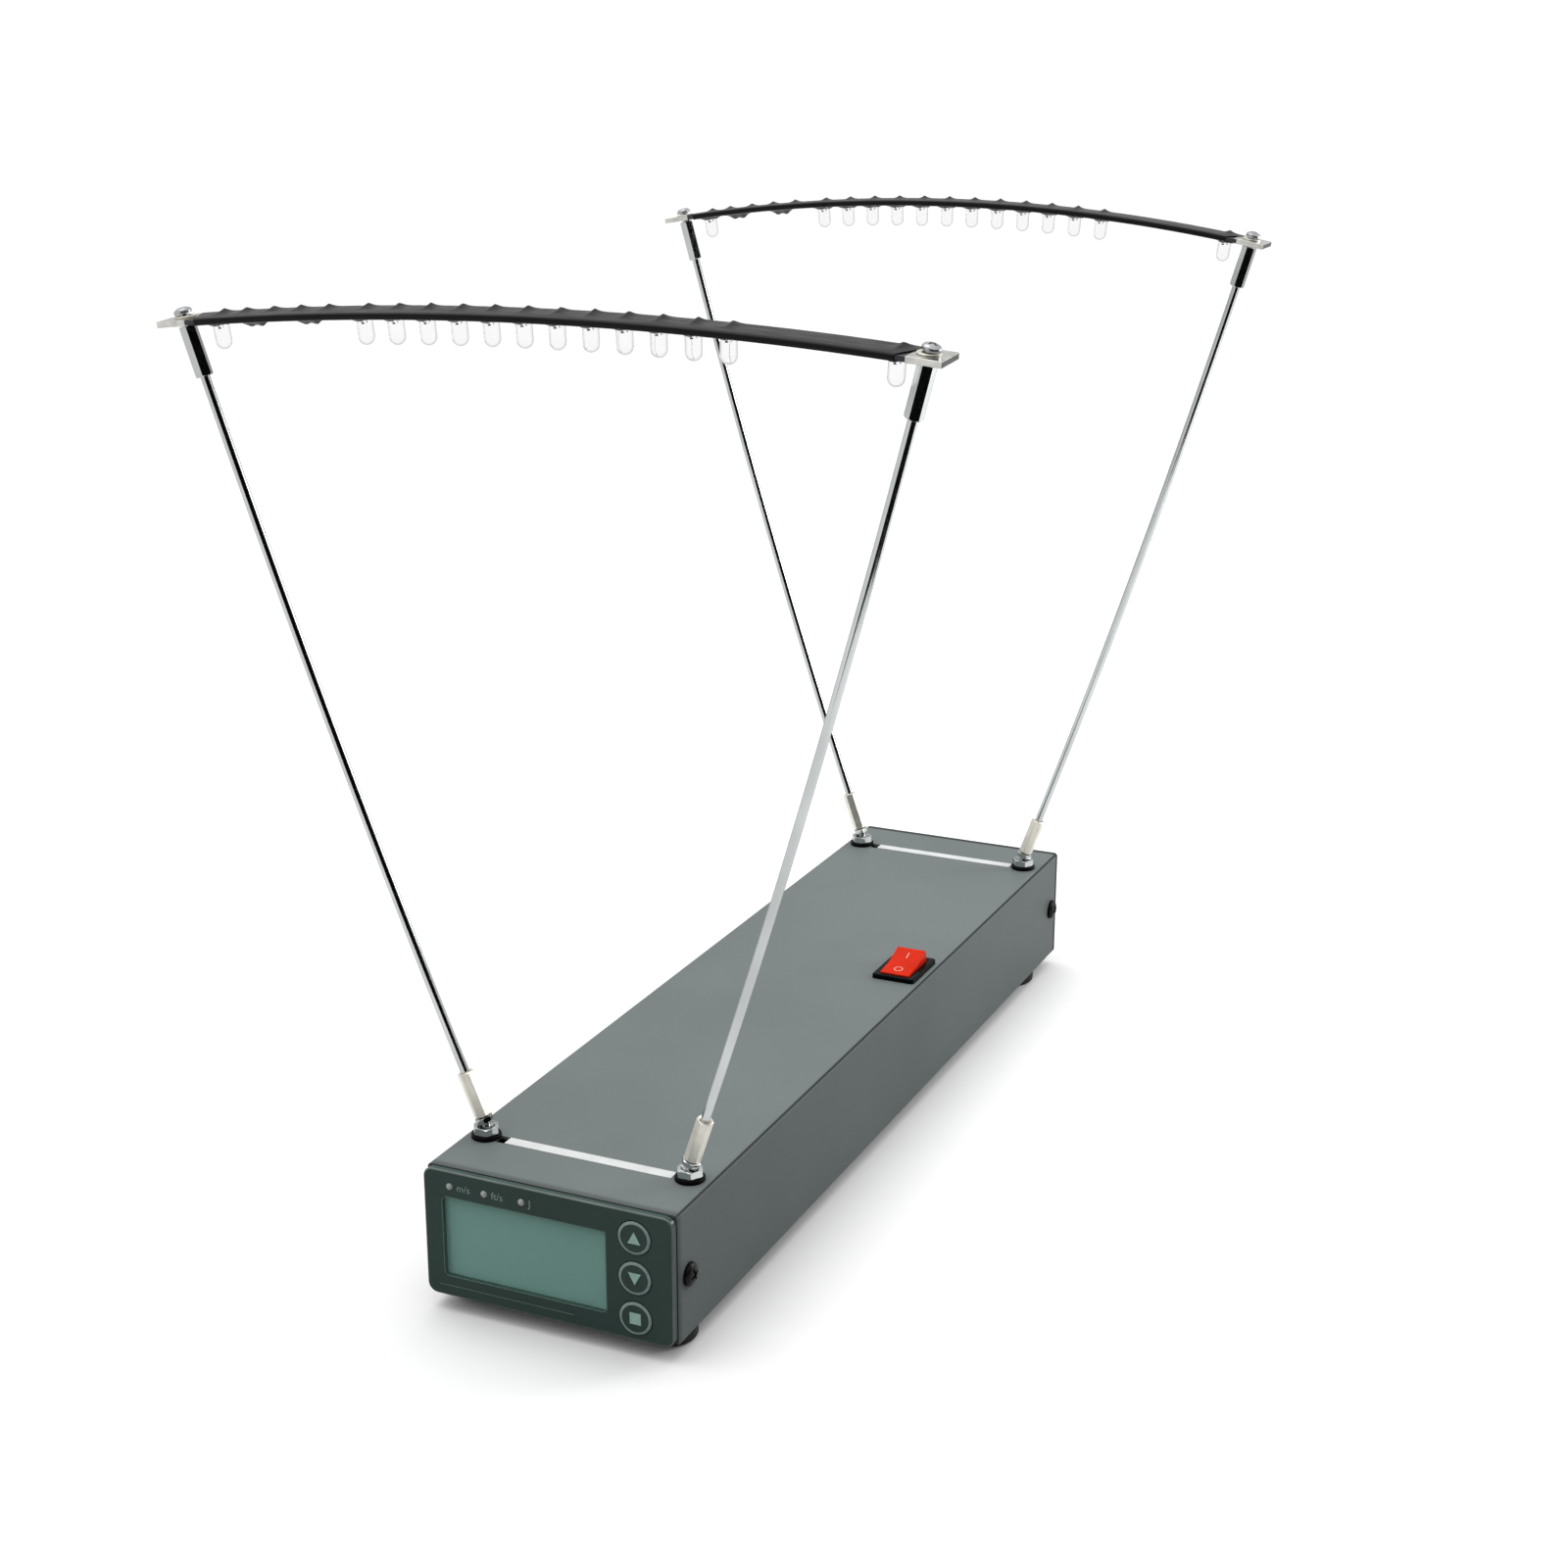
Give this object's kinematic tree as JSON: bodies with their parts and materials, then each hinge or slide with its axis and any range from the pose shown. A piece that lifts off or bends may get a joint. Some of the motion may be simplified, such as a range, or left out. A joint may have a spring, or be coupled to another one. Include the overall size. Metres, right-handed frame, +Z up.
{
  "type": "light-curtain speed chronograph",
  "caption": "Bench speed meter: a long grey sheet-metal case with a display and keys at its front end, and two open arches of thin rods that carry lamp strips over sensor windows.",
  "frame": {"origin": "on the ground under the middle of the part's bounding box, the plane x = 0 being the case's middle", "axes": "+X to the right seen from the display end, +Y from the display towards the back, +Z up"},
  "size_m": [0.2559, 0.3734, 0.33],
  "materials": {
    "case_paint": "satin mid-grey powder coat, very finely textured",
    "black_steel": "black oxide, slightly oily, cross-recessed heads",
    "foot_rubber": "matt black moulded rubber",
    "panel_gloss": "glossy dark green-black acrylic",
    "foam_tape": "black foam tape",
    "window_clear": "clear acrylic",
    "lens_clear": "frosted clear acrylic",
    "key_gloss": "glossy dark green-black, as the panel",
    "switch_black": "black nylon, fine moulded grain",
    "rocker_red": "translucent orange-red polycarbonate",
    "lcd_cell": "grey-green liquid-crystal cell under a polariser",
    "backlight_white": "white diffuser",
    "board_green": "green solder mask on glass-fibre board",
    "board_dark": "dark solder mask with bare board edges",
    "component_black": "black moulded parts",
    "brass_post": "turned brass",
    "contact_metal": "pressed brass, plated",
    "spring_steel": "nickel-plated spring steel",
    "cell_sleeve": "plain printed sleeve over a metal can",
    "nickel": "bright nickel plate, slightly warm",
    "chrome_rod": "bright chrome plate",
    "tin_pad": "bright tinned copper",
    "sensor_white": "white translucent diffuser",
    "insulator_black": "black nylon",
    "sleeve_black": "semi-gloss black shrink sleeve",
    "lamp_clear": "water-clear moulded epoxy",
    "diode_black": "dark infra-red-pass epoxy",
    "wire_red": "soft insulated wire",
    "resistor_tan": "painted ceramic body"
  },
  "bodies": {
    "base": {"case_cover": "case_paint", "case_chassis": "case_paint", "cover_screws": "black_steel", "rubber_feet": "foot_rubber", "foot_screws": "black_steel", "front_panel": "panel_gloss", "panel_tape": "foam_tape", "display_window": "window_clear", "indicator_lenses": "lens_clear", "key_switches": "component_black", "lcd_glass": "lcd_cell", "lcd_backlight": "backlight_white", "display_board": "board_green", "display_posts": "brass_post", "indicator_diodes": "lens_clear", "switch_housing": "switch_black", "switch_terminals": "contact_metal", "battery_holder": "component_black", "battery_cells": "cell_sleeve", "battery_contacts": "spring_steel", "main_board": "board_green", "board_posts": "brass_post", "board_components": "component_black", "board_screws": "spring_steel", "wiring": "wire_red", "sensor_windows": "sensor_white", "sensor_slits": "component_black", "sensor_boards": "board_green", "photodiodes": "diode_black", "insulating_washers": "insulator_black", "base_nuts": "nickel", "inner_nuts": "nickel", "stud_bushes": "insulator_black", "bent_studs": "chrome_rod", "jam_nuts": "nickel", "lower_couplers": "nickel", "upper_couplers": "nickel", "front_left_rod": "chrome_rod", "front_right_rod": "chrome_rod", "rear_left_rod": "chrome_rod", "rear_right_rod": "chrome_rod", "front_strip_board": "board_dark", "front_strip_sleeve": "sleeve_black", "rear_strip_board": "board_dark", "rear_strip_sleeve": "sleeve_black", "front_lamps": "lamp_clear", "rear_lamps": "lamp_clear", "strip_resistors": "resistor_tan", "end_pads": "tin_pad", "strip_washers": "nickel", "strip_screws": "spring_steel"},
    "rocker": {"switch_rocker": "rocker_red"},
    "contact_blade": {"switch_blade": "contact_metal"},
    "up_key": {"key_up": "key_gloss", "plunger_up": "component_black"},
    "down_key": {"key_down": "key_gloss", "plunger_down": "component_black"},
    "stop_key": {"key_stop": "key_gloss", "plunger_stop": "component_black"}
  },
  "joints": [
    {"name": "power_rocker", "type": "hinge", "parent": "base", "child": "rocker", "pos_m": [0.0342, 0.0327, 0.0498], "axis": [1, 0, 0], "range_deg": [-24, 0]},
    {"name": "blade_hinge", "type": "hinge", "parent": "base", "child": "contact_blade", "pos_m": [0.0342, 0.0327, 0.0415], "axis": [1, 0, 0], "range_deg": [0, 10]},
    {"name": "up_press", "type": "slide", "parent": "base", "child": "up_key", "axis": [0, 1, 0], "range_m": [0, 0.0005], "stiffness_N_per_m": 800},
    {"name": "down_press", "type": "slide", "parent": "base", "child": "down_key", "axis": [0, 1, 0], "range_m": [0, 0.0005], "stiffness_N_per_m": 800},
    {"name": "stop_press", "type": "slide", "parent": "base", "child": "stop_key", "axis": [0, 1, 0], "range_m": [0, 0.0005], "stiffness_N_per_m": 800}
  ],
  "couplings": [
    {"joint": "blade_hinge", "follows": "power_rocker", "ratio": -0.4166}
  ]
}
